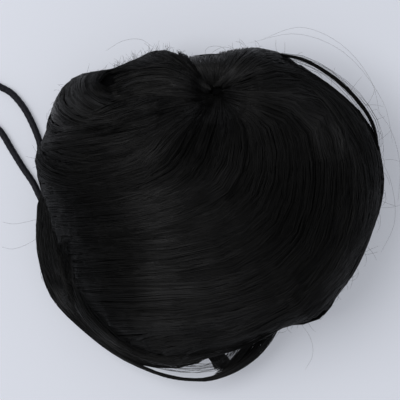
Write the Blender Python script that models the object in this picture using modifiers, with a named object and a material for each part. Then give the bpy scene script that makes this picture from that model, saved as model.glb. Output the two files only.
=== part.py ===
"""Top knot hairpiece: a bun of synthetic hair on a net cap, with a drawstring in the cap's rim.

Metres, +Z up. The bun lies on a table at Z = 0, its mouth down, and the origin is on the table
under the middle of the bun. +Y is the top of the bun as seen from above, with the knot, and the
drawstring's loop leaves towards -X.
"""

import math

import bmesh
import bpy
import numpy as np

# Driving dimensions of the hair
BUN_WIDTH = 0.1250
BUN_DEPTH = 0.1208
BUN_HEIGHT = 0.0560
GIRTH_HEIGHT = 0.0190
FOOT_INSET = 0.0070
FURROW_DEPTH = 0.0052
KNOT_DEPTH = 0.0110
CURL_DEPTH = 0.0060
CLEFT_DEPTH = 0.0035

# Driving dimensions of the two locks that stand off the bun
SIDE_LOCK_WIDTH = 0.0021
SIDE_LOCK_THICKNESS = 0.0070
SIDE_LOCK_HEIGHT = 0.0230
RIM_LOCK_WIDTH = 0.0040
RIM_LOCK_THICKNESS = 0.0080
RIM_LOCK_HEIGHT = 0.0110

# Driving dimensions of the cap and the drawstring
CAP_RADIUS = 0.0340
CAP_DEPTH = 0.0300
NET_WALL = 0.0010
CORD_DIAMETER = 0.0025
CORD_LEAD = 0.0015
CORD_PLAY = 0.0004
CASING_WALL = 0.0009
CASING_GAP_ANGLE = 30.0
PASSAGE_WIDTH = 0.0165
PASSAGE_SHIFT = 0.0015
PASSAGE_ROOM = 0.0010
CLEARANCE = 0.0003
SEAT_GAP = 0.00035

# Sizes that follow from these
CORD_RADIUS = CORD_DIAMETER / 2
CASING_RADIUS = CORD_RADIUS + CORD_PLAY + CASING_WALL
CASING_HEIGHT = CASING_RADIUS + CLEARANCE
CAP_BASE = CASING_HEIGHT + CASING_RADIUS + CLEARANCE
HALF_SPAN = np.array((BUN_WIDTH / 2, BUN_DEPTH / 2))

# Shape of the forms: how square the dome's shoulder is, how much the furrows fade by the girth, the
# share of its girth that a lock starts with and of its thickness that it keeps where it is thinnest,
# and how far from upright the cap's dome ends and how round it is
DOME_SQUARENESS = 2.5
FURROW_FADE = 0.6
LOCK_START = 0.5
LOCK_LEAST = 0.4
CAP_CROWN_ANGLE = 6
CAP_ROUNDNESS = 0.9

# How finely the forms are divided
AROUND = 96
DOME_ROWS = 21
SIDE_ROWS = 5
CAVITY_ROWS = 7
CAP_AROUND = 48
LOCK_SIDES = 8
LOCK_STATIONS = 26
CASING_STATIONS = 36
CORD_STATIONS = 74
CURVE_STEPS = 24
LOCK_PROBES = 60

# Outline of the mass from above, every 15 degrees from +X towards +Y. Reach is a share of the half span.
OUTLINE = (
    # bearing, reach
    (0, 0.975),
    (15, 1.030),
    (30, 1.055),
    (45, 1.035),
    (60, 1.028),
    (75, 1.058),
    (90, 0.945),
    (105, 1.022),
    (120, 1.020),
    (135, 1.132),
    (150, 1.095),
    (165, 1.050),
    (180, 0.945),
    (195, 0.918),
    (210, 0.955),
    (225, 0.980),
    (240, 0.974),
    (255, 0.945),
    (270, 0.862),
    (285, 0.830),
    (300, 0.820),
    (315, 0.932),
    (330, 0.905),
    (345, 0.920),
)

# Locks on the mass. Width is a share of the bun's width, rise a share of the furrow's depth, and
# each point of the path a share of the half span across and along the bun.
LOCKS = (
    # name, width, rise,
    # path
    ("upper_roll", 0.064, 0.95,
     ((-0.07, 0.67), (-0.23, 0.50), (-0.46, 0.40), (-0.75, 0.36), (-1.0, 0.33))),
    ("left_fall", 0.056, 0.80,
     ((-0.06, 0.67), (-0.20, 0.50), (-0.35, 0.26), (-0.63, 0.17), (-1.0, 0.13))),
    ("inner_sweep", 0.068, 1.00,
     ((-0.03, 0.69), (0.13, 0.48), (0.02, 0.19), (-0.26, 0.02), (-0.58, -0.04), (-1.0, -0.06))),
    ("middle_sweep", 0.070, 0.90,
     ((0.01, 0.70), (0.30, 0.46), (0.26, 0.07), (-0.12, -0.15), (-0.52, -0.20), (-1.0, -0.24))),
    ("outer_sweep", 0.080, 1.00,
     ((0.02, 0.73), (0.45, 0.50), (0.44, -0.06), (0.09, -0.34), (-0.40, -0.42), (-0.95, -0.42))),
    ("lower_sweep", 0.080, 0.90,
     ((0.03, 0.76), (0.62, 0.52), (0.63, -0.15), (0.29, -0.50), (-0.23, -0.62), (-0.85, -0.60))),
    ("right_sweep", 0.072, 0.95,
     ((0.05, 0.78), (0.58, 0.70), (0.82, 0.29), (0.80, -0.20), (0.50, -0.55))),
    ("right_crescent", 0.068, 1.00,
     ((0.03, 0.82), (0.35, 0.90), (0.72, 0.75), (0.97, 0.38), (1.0, 0.02), (0.86, -0.40))),
    ("bottom_lobe", 0.066, 0.90,
     ((0.50, -0.55), (0.23, -0.76), (-0.17, -0.88), (-0.60, -0.82))),
    ("corner_curl", 0.064, 1.00,
     ((-0.30, 0.95), (-0.58, 0.99), (-0.82, 0.84), (-0.90, 0.62), (-0.70, 0.50))),
    ("curl_core", 0.040, 0.85,
     ((-0.55, 0.90), (-0.72, 0.78), (-0.71, 0.66), (-0.55, 0.60), (-0.36, 0.66))),
    ("top_tuft", 0.066, 1.00,
     ((-0.06, 0.72), (-0.16, 0.84), (-0.32, 0.90), (-0.50, 0.86))),
)

# Dents in the mass. Place is a share of the half span, radius a share of the bun's width.
DENTS = (
    # across, along, radius, depth
    (0.02, 0.72, 0.070, KNOT_DEPTH),
    (-0.59, 0.76, 0.034, CURL_DEPTH),
    (-0.08, 0.93, 0.060, CLEFT_DEPTH),
)

# Course of the standing locks, in shares of the half span. Girth is a share of the lock's size there.
SIDE_LOCK = (
    # across, along, girth
    (0.220, 0.930, 0.45),
    (0.380, 0.940, 0.70),
    (0.530, 0.918, 0.90),
    (0.655, 0.852, 1.00),
    (0.768, 0.766, 1.00),
    (0.865, 0.660, 1.00),
    (0.935, 0.545, 0.90),
    (0.960, 0.400, 0.65),
    (0.925, 0.270, 0.40),
)
RIM_LOCK = (
    # across, along, girth
    (-0.900, 0.200, 0.45),
    (-0.955, 0.060, 0.75),
    (-0.972, -0.120, 0.95),
    (-0.950, -0.300, 1.00),
    (-0.882, -0.509, 0.85),
    (-0.704, -0.704, 0.60),
    (-0.498, -0.862, 0.45),
    (-0.259, -0.968, 0.42),
    (0.000, -0.992, 0.45),
    (0.162, -0.925, 0.80),
    (0.294, -0.810, 1.00),
    (0.385, -0.670, 0.60),
)

# Route of the drawstring's free loop between its two ends in the casing, in metres
CORD_ROUTE = (
    (-0.0358, 0.0035, 0.0024),
    (-0.0400, 0.0020, 0.0019),
    (-0.0450, 0.0019, 0.0014),
    (-0.0500, 0.0023, 0.00125),
    (-0.0546, 0.0040, 0.00125),
    (-0.0586, 0.0075, 0.00125),
    (-0.0612, 0.0125, 0.00125),
    (-0.0620, 0.0185, 0.00125),
    (-0.0619, 0.0243, 0.00125),
    (-0.0632, 0.0287, 0.00125),
    (-0.0656, 0.0341, 0.00125),
    (-0.0683, 0.0387, 0.00125),
    (-0.0722, 0.0432, 0.00125),
    (-0.0763, 0.0456, 0.00125),
    (-0.0810, 0.0479, 0.00125),
    (-0.0850, 0.0487, 0.00125),
    (-0.0889, 0.0471, 0.00125),
    (-0.0906, 0.0432, 0.00125),
    (-0.0889, 0.0392, 0.00125),
    (-0.0851, 0.0363, 0.00125),
    (-0.0807, 0.0332, 0.00125),
    (-0.0762, 0.0292, 0.00125),
    (-0.0722, 0.0227, 0.00125),
    (-0.0683, 0.0164, 0.00125),
    (-0.0644, 0.0106, 0.00125),
    (-0.0620, 0.0057, 0.00125),
    (-0.0592, 0.0008, 0.00125),
    (-0.0550, -0.0016, 0.00125),
    (-0.0500, -0.0021, 0.00125),
    (-0.0450, -0.0019, 0.0014),
    (-0.0400, -0.0020, 0.0019),
    (-0.0358, -0.0035, 0.0024),
)


def smooth_course(points, count):
    """Return count points, evenly spaced along a smooth curve through the given points."""
    points = np.array(points, float)
    padded = np.vstack((2 * points[0] - points[1], points, 2 * points[-1] - points[-2]))
    steps = np.linspace(0, 1, CURVE_STEPS, endpoint=False)[:, None]
    fine = []
    for before, start, end, after in zip(padded, padded[1:], padded[2:], padded[3:]):
        fine.append(
            0.5
            * (
                2 * start
                + (end - before) * steps
                + (2 * before - 5 * start + 4 * end - after) * steps**2
                + (3 * (start - end) + after - before) * steps**3
            )
        )
    fine = np.vstack(fine + [points[-1:]])
    run = np.concatenate(([0], np.cumsum(np.linalg.norm(np.diff(fine, axis=0), axis=1))))
    stops = np.linspace(0, run[-1], count)
    return np.column_stack([np.interp(stops, run, axis) for axis in fine.T])


def smooth_reach(table, count):
    """Return the reach of a closed outline at count even bearings, on a smooth curve through the table."""
    reach = np.array([row[1] for row in table])
    where = np.arange(count) * len(reach) / count
    index = where.astype(int)
    part = where - index
    before, start, end, after = (reach[(index + shift) % len(reach)] for shift in (-1, 0, 1, 2))
    return 0.5 * (
        2 * start
        + (end - before) * part
        + (2 * before - 5 * start + 4 * end - after) * part**2
        + (3 * (start - end) + after - before) * part**3
    )


def lock_height(places):
    """Return how high the locks stand at places given in shares of the half span, from 0 to 1."""
    height = np.zeros(len(places))
    for _, width, rise, path in LOCKS:
        course = smooth_course(path, LOCK_PROBES)
        apart = np.linalg.norm((places[:, None] - course[None]) * HALF_SPAN, axis=2)
        nearest = apart.argmin(axis=1)
        along = nearest / (len(course) - 1)
        girth = width * BUN_WIDTH * (LOCK_START + (1 - LOCK_START) * np.minimum(1, 3 * along))
        share = apart.min(axis=1) / girth
        height = np.maximum(height, rise * np.sqrt(np.clip(1 - share**2, 0, 1)))
    return height


def relief(places, share):
    """Return how far the surface lies inside the plain form, for a share of the way from crown to girth.

    Furrows lie between the locks and fade towards the girth, whose outline already follows the locks.
    """
    depth = FURROW_DEPTH * (1 - FURROW_FADE * share**4) * (1 - lock_height(places))
    for across, along, radius, dent in DENTS:
        apart = np.linalg.norm((places - (across, along)) * HALF_SPAN, axis=1)
        depth += dent * np.exp(-((apart / (radius * BUN_WIDTH)) ** 2))
    return depth


def cap_profile(rows, widened):
    """Return radius and height of a cap's dome from its rim to near its crown."""
    turn = np.radians(np.linspace(0, 90 - CAP_CROWN_ANGLE, rows))
    radius = (CAP_RADIUS + widened) * np.cos(turn) ** CAP_ROUNDNESS
    height = CAP_BASE + (CAP_DEPTH + widened) * np.sin(turn) ** CAP_ROUNDNESS
    return np.column_stack((radius, height))


def ring(reach, height, count):
    """Return a level ring of points. Reach is one radius or a pair of them for each bearing."""
    bearing = np.arange(count) * 2 * math.pi / count
    flat = np.column_stack((np.cos(bearing), np.sin(bearing))) * reach
    return np.column_stack((flat, np.full(count, height)))


def hair_rings():
    """Return the rings of the hair mass: dome, side, foot, recess for the casing, and hollow for the cap."""
    outline = smooth_reach(OUTLINE, AROUND)[:, None] * HALF_SPAN
    unit = ring(1, 0, AROUND)[:, :2]
    rings = []
    for row in range(1, DOME_ROWS + 1):
        share = math.sin(math.pi / 2 * row / DOME_ROWS)
        dome = (1 - share**DOME_SQUARENESS) ** 0.5
        height = GIRTH_HEIGHT + (BUN_HEIGHT - GIRTH_HEIGHT) * dome
        base = ring(outline * share, height, AROUND)
        outward = np.column_stack((unit * share**1.5, np.full(AROUND, dome)))
        outward /= np.linalg.norm(outward, axis=1)[:, None]
        rings.append(base - outward * relief(base[:, :2] / HALF_SPAN, share)[:, None])
    girth = rings[-1]
    for row in range(1, SIDE_ROWS + 1):
        turn = math.pi / 2 * row / SIDE_ROWS
        side = girth.copy()
        side[:, :2] -= unit * FOOT_INSET * (1 - math.cos(turn))
        side[:, 2] = girth[:, 2] * (1 - math.sin(turn))
        rings.append(side)
    recess = CAP_RADIUS + CASING_RADIUS + CLEARANCE
    rings.append(ring(recess, 0, AROUND))
    rings.append(ring(recess, CAP_BASE, AROUND))
    for radius, height in cap_profile(CAVITY_ROWS, NET_WALL / 2 + CLEARANCE):
        rings.append(ring(radius, height, AROUND))
    return rings


def loft(rings, closed=True):
    """Skin rings of equal count, given so that their faces look outward, with a fan over each end."""
    mesh = bpy.data.meshes.new("loft")
    shape = bmesh.new()
    rows = [[shape.verts.new(point) for point in points] for points in rings]
    for upper, lower in zip(rows, rows[1:]):
        for here in range(len(upper)):
            after = (here + 1) % len(upper)
            shape.faces.new((upper[here], lower[here], lower[after], upper[after]))
    ends = ((rows[0], 1), (rows[-1], -1)) if closed else ((rows[0], 1),)
    for row, way in ends:
        middle = shape.verts.new(sum((vert.co for vert in row[1:]), row[0].co) / len(row))
        for here in range(len(row)):
            after = (here + 1) % len(row)
            shape.faces.new((middle, row[here], row[after])[::way])
    shape.to_mesh(mesh)
    shape.free()
    return mesh


def lock_rings(table, width, thickness, height):
    """Return the rings of a lock that stands off the bun, oval in section and tapered by its table."""
    course = smooth_course(table, LOCK_STATIONS)
    middle = course[:, :2] * HALF_SPAN
    heading = np.gradient(middle, axis=0)
    heading /= np.linalg.norm(heading, axis=1)[:, None]
    turn = np.arange(LOCK_SIDES) * 2 * math.pi / LOCK_SIDES
    rings = []
    for place, ahead, girth in zip(middle, heading, course[:, 2]):
        aside = np.array((ahead[1], -ahead[0]))
        flat = place + np.outer(np.cos(turn), aside) * girth * width / 2
        level = height + np.sin(turn) * (LOCK_LEAST + (1 - LOCK_LEAST) * girth) * thickness / 2
        rings.append(np.column_stack((flat, level)))
    return rings


def tube(name, points, radius, capped=True):
    """Add a round tube of the given radius along the points."""
    curve = bpy.data.curves.new(name, "CURVE")
    curve.dimensions = "3D"
    curve.bevel_depth = radius
    curve.bevel_resolution = 2
    curve.use_fill_caps = capped
    line = curve.splines.new("POLY")
    line.points.add(len(points) - 1)
    for spot, place in zip(line.points, points):
        spot.co = (*place, 1)
    return bpy.data.objects.new(name, curve)


def material(name, colour, roughness):
    """Return a new Principled material."""
    surface = bpy.data.materials.new(name)
    surface.use_nodes = True
    shader = surface.node_tree.nodes["Principled BSDF"]
    shader.inputs["Base Color"].default_value = (*colour, 1)
    shader.inputs["Roughness"].default_value = roughness
    shader.inputs["Metallic"].default_value = 0
    return surface


def place(thing, collection, surface=None):
    """Put an object in a collection and give it its material."""
    collection.objects.link(thing)
    if surface:
        thing.data.materials.append(surface)
    return thing


def hide(cutter):
    """Mark an object as a cutter."""
    cutter.hide_render = True
    cutter.display_type = "WIRE"


def cut(thing, cutter):
    """Take the cutter's shape out of a thing."""
    step = thing.modifiers.new("cut", "BOOLEAN")
    step.operation = "DIFFERENCE"
    step.solver = "EXACT"
    step.object = cutter


def rim_arc(first, last, stations):
    """Return points round the cap's mouth at the casing's height, between two bearings in degrees."""
    bearing = np.radians(np.linspace(first, last, stations))
    level = np.full(stations, CASING_HEIGHT)
    return np.column_stack((CAP_RADIUS * np.cos(bearing), CAP_RADIUS * np.sin(bearing), level))


def make_passage(cutters):
    """Add the cutter of the passage under the hair through which the drawstring leaves."""
    inner = CAP_RADIUS
    outer = BUN_WIDTH / 2 + FOOT_INSET
    height = CORD_DIAMETER + PASSAGE_ROOM
    bpy.ops.mesh.primitive_cube_add(size=1)
    passage = bpy.context.object
    passage.name = "passage_cutter"
    for vert in passage.data.vertices:
        vert.co.x *= outer - inner
        vert.co.y *= PASSAGE_WIDTH
        vert.co.z *= 2 * height
    passage.location = (-(inner + outer) / 2, PASSAGE_SHIFT, 0)
    bpy.context.collection.objects.unlink(passage)
    place(passage, cutters)
    hide(passage)
    return passage


def make_hair(parts, cutters, surface):
    """Add the hair mass and the two locks that stand off it, each seated a small gap from the mass."""
    mass = place(bpy.data.objects.new("hair_mass", loft(hair_rings())), parts, surface)
    mass.data.name = "hair_mass"
    mass.data.shade_smooth()
    cut(mass, make_passage(cutters))

    seat = place(bpy.data.objects.new("seat_cutter", mass.data.copy()), cutters)
    swell = seat.modifiers.new("swell", "DISPLACE")
    swell.strength = SEAT_GAP
    swell.mid_level = 0
    hide(seat)

    locks = (
        ("side_arc_lock", SIDE_LOCK, SIDE_LOCK_WIDTH, SIDE_LOCK_THICKNESS, SIDE_LOCK_HEIGHT),
        ("rim_lock", RIM_LOCK, RIM_LOCK_WIDTH, RIM_LOCK_THICKNESS, RIM_LOCK_HEIGHT),
    )
    for name, table, width, thickness, height in locks:
        shape = loft(lock_rings(table, width, thickness, height))
        lock = place(bpy.data.objects.new(name, shape), parts, surface)
        shape.shade_smooth()
        cut(lock, seat)


def make_cap(parts, surface):
    """Add the net cap: an open dome with a thin wall."""
    rings = [ring(radius, height, CAP_AROUND) for radius, height in cap_profile(CAVITY_ROWS, 0)[::-1]]
    cap = place(bpy.data.objects.new("cap_net", loft(rings, closed=False)), parts, surface)
    cap.data.shade_smooth()
    wall = cap.modifiers.new("wall", "SOLIDIFY")
    wall.thickness = NET_WALL
    wall.offset = 0


def make_drawstring(parts, casing_surface, cord_surface):
    """Add the casing round the mouth, the drawstring held in it, and the drawstring's free loop."""
    first = -180 + CASING_GAP_ANGLE / 2
    last = 180 - CASING_GAP_ANGLE / 2
    held = rim_arc(first, last, CASING_STATIONS)
    casing = place(tube("rim_casing", held, CASING_RADIUS, capped=False), parts, casing_surface)
    wall = casing.modifiers.new("wall", "SOLIDIFY")
    wall.thickness = CASING_WALL
    wall.offset = -1
    place(tube("drawstring_core", held, CORD_RADIUS), parts, cord_surface)

    gap = math.degrees(CLEARANCE / CAP_RADIUS)
    lead = math.degrees(CORD_LEAD / CAP_RADIUS)
    start = rim_arc(last + gap, last + gap + lead, 2)
    end = rim_arc(first - gap - lead, first - gap, 2)
    course = smooth_course(np.vstack((start, CORD_ROUTE, end)), CORD_STATIONS)
    place(tube("drawstring_loop", course, CORD_RADIUS), parts, cord_surface)


def main():
    """Build the hairpiece."""
    for thing in list(bpy.data.objects):
        bpy.data.objects.remove(thing, do_unlink=True)
    parts = bpy.data.collections.new("top_knot_hairpiece")
    cutters = bpy.data.collections.new("cutters")
    for collection in (parts, cutters):
        bpy.context.scene.collection.children.link(collection)

    hair = material("black_hair", (0.010, 0.010, 0.012), 0.42)
    net = material("black_net", (0.012, 0.012, 0.013), 0.75)
    ribbon = material("black_ribbon", (0.014, 0.014, 0.016), 0.70)
    cord = material("black_cord", (0.020, 0.020, 0.023), 0.65)
    make_hair(parts, cutters, hair)
    make_cap(parts, net)
    make_drawstring(parts, ribbon, cord)


main()
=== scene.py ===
"""Looks of the top knot hairpiece: hair strands, cap net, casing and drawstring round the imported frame.

Metres, +Z up. The bun lies on a pale floor and the camera looks straight down on it. Places on the
bun are shares of its half span, and the hair runs along families of guide lines laid over it.
"""

import math

import bpy
import numpy as np
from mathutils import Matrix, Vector
from mathutils.bvhtree import BVHTree


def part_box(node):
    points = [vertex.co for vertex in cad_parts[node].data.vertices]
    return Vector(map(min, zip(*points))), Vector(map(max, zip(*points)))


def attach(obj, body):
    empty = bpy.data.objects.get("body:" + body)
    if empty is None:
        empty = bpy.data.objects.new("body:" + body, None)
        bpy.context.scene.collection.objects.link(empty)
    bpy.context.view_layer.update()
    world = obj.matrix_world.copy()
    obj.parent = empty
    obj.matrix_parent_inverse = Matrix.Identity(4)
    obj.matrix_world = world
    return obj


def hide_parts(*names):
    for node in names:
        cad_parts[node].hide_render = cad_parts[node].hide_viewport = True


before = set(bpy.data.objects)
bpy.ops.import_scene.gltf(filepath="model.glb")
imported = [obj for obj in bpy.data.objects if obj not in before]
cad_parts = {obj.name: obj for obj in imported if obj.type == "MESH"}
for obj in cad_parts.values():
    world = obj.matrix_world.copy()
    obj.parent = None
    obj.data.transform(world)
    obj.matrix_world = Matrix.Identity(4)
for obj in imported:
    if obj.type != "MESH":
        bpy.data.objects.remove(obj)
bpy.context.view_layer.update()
rng = np.random.default_rng(11)

# The photograph's frame: how much of the bun it takes in, and the part of the bun at its middle
FRAME_WIDTH = 0.1440
VIEW_CENTRE = (-0.0036, 0.0044)
CAMERA_HEIGHT = 1.40
SENSOR = 36.0

# The bun's own sizes, from the frame
HAIR_NODES = ("hair_mass", "side_arc_lock", "rim_lock")
LOW = np.min([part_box(node)[0] for node in HAIR_NODES], axis=0)
HIGH = np.max([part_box(node)[1] for node in HAIR_NODES], axis=0)
HALF_SPAN = (HIGH - LOW)[:2] / 2
GIRTH_HEIGHT = 0.34 * HIGH[2]

# Strands: thickness, points along them, and how random tone and the painted highlight and shade patches
# add up
STRAND_RADIUS = 0.00012
BAND_STATIONS = 10
STRAY_RADIUS = 0.00004
STRAY_STATIONS = 11
GUIDE_POINTS = 80
FLOOR_GAP = 0.0003
UPWARD = (0.0, 0.0, 1.0)
TONE_SHARE = 0.5
PATCH_LOWEST = -0.5
PATCH_BASE = 0.5
TONE_HIGHEST = 1.5

# The combed hair: how deep it starts in the mass, and how locks and wisps ride up and down
HAIR_DEPTH = 0.0008
BED_DEPTH = 0.0004
CORE_INSET = 0.0022
CORE_FOOT = 0.0080
LOCK_LIFT = 0.0008
LOCK_CROWN = 0.0007
END_DEPTH = 0.0012
EDGE_PRESS = 0.6
EDGE_WIDTH = 0.06
SWAY = 0.0007
SWAY_LENGTH = 0.045
RIPPLE = 0.00035
RIPPLE_LENGTH = 0.022

# How locks vary in a family: their run as shares of the guides' length, girth and tone
BED_START = -0.03
BED_LENGTH = 1.06
LOCK_START = -0.05
LOCK_END = 1.03
LOCK_DRIFT = 0.10
LOCK_GIRTHS = (0.7, 1.3)
LOCK_TONES = (0.15, 0.80)
TIP_GIRTH = 0.40
ROOT_GIRTH = 0.35
ROOT_GROWTH = 4

# How wisps vary in a lock and strands in a wisp, as shares of the girth they lie in
WISP_GIRTHS = (0.16, 0.34)
WISP_TONE = 0.10
WISP_BULGE = 0.28
HAIR_SPREAD = 0.45
HAIR_LIMIT = 1.3
HAIR_STRAY = 0.18
HAIR_LEVEL = 0.00012
HAIR_TONE = 0.05

# How a band's hair varies: reach in radians, slope and spread as shares of the girth
BAND_REACHES = (0.5, 1.2)
BAND_SLOPE = 0.05
BAND_SPREAD = 0.030
BAND_CROWN = 0.0004
BAND_LIFTS = (0.3, 1.0)
BAND_TONES = (0.1, 0.7)
BAND_TONE_SPREAD = 0.15

# How a standing lock's strands vary
STANDING_RADIUS = 0.9 * STRAND_RADIUS
STANDING_POINTS = 60
STANDING_STATIONS = 26
STANDING_LENGTHS = (0.55, 1.0)
STANDING_TWIST = 1.2
STANDING_TONES = (0.2, 0.9)
THIN_SHARE = 0.4

# How waves, veils and frizz vary
WAVE_SIZES = (0.3, 1.0)
WAVE_LENGTHS = (0.7, 1.4)
VEIL_SLANT = 0.10
VEIL_WAVE = 0.0004
VEIL_WAVE_LENGTH = 0.030
FRIZZ_ROOT = 0.0012
FRIZZ_LEVELS = (-0.006, 0.012)
FRIZZ_LEAN = 0.9
FRIZZ_BEND = 1.6
FRIZZ_CLIMB = 0.4

# The cap's net, the casing's pleats and wall, and the cord's plait
NET_THREADS = 34
NET_STATIONS = 22
NET_TURN = 1.1
NET_TOP = 82
NET_ROUNDNESS = 0.9
NET_SKIN = 0.0005
NET_THREAD_RADIUS = 0.00035
PLEATS = 95
PLEAT_DEPTH = 0.00018
CASING_SKIN = 0.0002
CASING_WALL = 0.0009
PLAIT = 0.0022
BRAID_VALLEY = 0.93
BRAID_RIDGE = 0.07

# Drawstring, repeated from the model: its free loop from one end of the casing to the other
CORD_DIAMETER = 0.0025
CAP_RADIUS = 0.0340
CASING_HEIGHT = 0.00285
CASING_RADIUS = 0.00255
CORD_LEAD = 0.0015
CORD_GAP = 0.0003
CASING_GAP_ANGLE = 30.0
CORD_ROUTE = (
    (-0.0358, 0.0035, 0.0024),
    (-0.0400, 0.0020, 0.0019),
    (-0.0450, 0.0019, 0.0014),
    (-0.0500, 0.0023, 0.00125),
    (-0.0546, 0.0040, 0.00125),
    (-0.0586, 0.0075, 0.00125),
    (-0.0612, 0.0125, 0.00125),
    (-0.0620, 0.0185, 0.00125),
    (-0.0619, 0.0243, 0.00125),
    (-0.0632, 0.0287, 0.00125),
    (-0.0656, 0.0341, 0.00125),
    (-0.0683, 0.0387, 0.00125),
    (-0.0722, 0.0432, 0.00125),
    (-0.0763, 0.0456, 0.00125),
    (-0.0810, 0.0479, 0.00125),
    (-0.0850, 0.0487, 0.00125),
    (-0.0889, 0.0471, 0.00125),
    (-0.0906, 0.0432, 0.00125),
    (-0.0889, 0.0392, 0.00125),
    (-0.0851, 0.0363, 0.00125),
    (-0.0807, 0.0332, 0.00125),
    (-0.0762, 0.0292, 0.00125),
    (-0.0722, 0.0227, 0.00125),
    (-0.0683, 0.0164, 0.00125),
    (-0.0644, 0.0106, 0.00125),
    (-0.0620, 0.0057, 0.00125),
    (-0.0592, 0.0008, 0.00125),
    (-0.0550, -0.0016, 0.00125),
    (-0.0500, -0.0021, 0.00125),
    (-0.0450, -0.0019, 0.0014),
    (-0.0400, -0.0020, 0.0019),
    (-0.0358, -0.0035, 0.0024),
)

# Guide lines of the hair, each a run of places in shares of the half span. A place past the bun's
# outline lies down its side. Strands run between neighbouring guides of a family.
SWIRL = (
    ((0.035, 0.69), (-0.24, 0.62), (-0.46, 0.56), (-0.74, 0.50), (-1.00, 0.46), (-1.34, 0.44)),
    ((0.035, 0.685), (-0.22, 0.52), (-0.46, 0.42), (-0.75, 0.37), (-1.00, 0.34), (-1.32, 0.32)),
    ((0.035, 0.685), (-0.19, 0.50), (-0.35, 0.27), (-0.63, 0.18), (-1.00, 0.14), (-1.34, 0.11)),
    ((0.035, 0.69), (-0.03, 0.52), (-0.14, 0.24), (-0.44, 0.10), (-0.80, 0.05), (-1.34, 0.02)),
    ((0.04, 0.69), (0.12, 0.50), (0.02, 0.19), (-0.26, 0.03), (-0.58, -0.02), (-0.97, -0.04),
     (-1.34, -0.08)),
    ((0.045, 0.69), (0.30, 0.46), (0.26, 0.05), (-0.12, -0.15), (-0.52, -0.19), (-0.97, -0.23),
     (-1.30, -0.34)),
    ((0.05, 0.698), (0.45, 0.50), (0.44, -0.06), (0.09, -0.33), (-0.40, -0.39), (-0.92, -0.41),
     (-1.20, -0.56)),
    ((0.05, 0.705), (0.62, 0.52), (0.63, -0.15), (0.29, -0.47), (-0.23, -0.57), (-0.80, -0.60),
     (-1.04, -0.82)),
    ((0.05, 0.712), (0.68, 0.60), (0.77, 0.00), (0.55, -0.45), (0.10, -0.72), (-0.40, -0.80),
     (-0.74, -1.08)),
    ((0.05, 0.72), (0.62, 0.70), (0.86, 0.28), (0.80, -0.22), (0.50, -0.55), (0.16, -0.84),
     (-0.06, -1.24)),
    ((0.05, 0.728), (0.45, 0.86), (0.80, 0.62), (0.97, 0.15), (0.84, -0.40), (0.56, -0.78),
     (0.42, -1.10)),
    ((0.045, 0.735), (0.38, 0.94), (0.82, 0.78), (1.12, 0.25), (1.05, -0.45), (0.80, -0.92),
     (0.66, -1.12)),
)
CURL = (
    ((0.00, 0.725), (-0.35, 0.97), (-0.60, 1.05), (-0.86, 0.93), (-0.98, 0.68), (-0.91, 0.53),
     (-0.76, 0.46), (-0.54, 0.45)),
    ((0.00, 0.722), (-0.35, 0.94), (-0.59, 1.00), (-0.79, 0.88), (-0.88, 0.68), (-0.81, 0.56),
     (-0.66, 0.51), (-0.46, 0.52)),
    ((0.00, 0.718), (-0.35, 0.90), (-0.57, 0.94), (-0.73, 0.84), (-0.76, 0.70), (-0.67, 0.60),
     (-0.54, 0.57), (-0.40, 0.58)),
    ((0.00, 0.714), (-0.36, 0.88), (-0.56, 0.90), (-0.69, 0.83), (-0.70, 0.73), (-0.63, 0.66),
     (-0.50, 0.63), (-0.38, 0.64)),
    ((0.00, 0.71), (-0.36, 0.85), (-0.55, 0.87), (-0.65, 0.81), (-0.65, 0.75), (-0.58, 0.71),
     (-0.42, 0.70)),
)
CURL_ROOT = (
    ((0.00, 0.69), (-0.24, 0.65), (-0.44, 0.57), (-0.62, 0.50), (-0.80, 0.47)),
    ((0.00, 0.697), (-0.22, 0.70), (-0.38, 0.67), (-0.54, 0.62), (-0.66, 0.59)),
    ((0.00, 0.704), (-0.22, 0.76), (-0.36, 0.75), (-0.48, 0.73), (-0.60, 0.71)),
    ((0.00, 0.711), (-0.22, 0.83), (-0.34, 0.84), (-0.44, 0.83), (-0.545, 0.81)),
)
LEFT_TURN = (
    ((-0.80, 0.90), (-0.98, 0.72), (-0.97, 0.56), (-0.88, 0.46), (-0.72, 0.42), (-0.50, 0.42)),
    ((-0.90, 0.84), (-1.04, 0.60), (-0.99, 0.42), (-0.87, 0.33), (-0.68, 0.30), (-0.42, 0.30)),
    ((-1.00, 0.66), (-1.06, 0.42), (-0.98, 0.25), (-0.84, 0.17), (-0.64, 0.14), (-0.36, 0.14)),
)
TOP_EDGE = (
    ((0.00, 0.722), (-0.32, 0.94), (-0.62, 1.08), (-0.98, 1.06), (-1.20, 0.86)),
    ((0.00, 0.727), (-0.22, 0.91), (-0.42, 1.07), (-0.62, 1.25)),
    ((0.00, 0.732), (-0.14, 0.89), (-0.24, 1.05), (-0.33, 1.34)),
    ((0.03, 0.742), (0.08, 0.91), (0.12, 1.08), (0.16, 1.36)),
    ((0.04, 0.742), (0.20, 0.94), (0.34, 1.06), (0.46, 1.26)),
    ((0.045, 0.737), (0.30, 0.95), (0.62, 0.94), (0.92, 0.92), (1.06, 0.70)),
)

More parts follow.
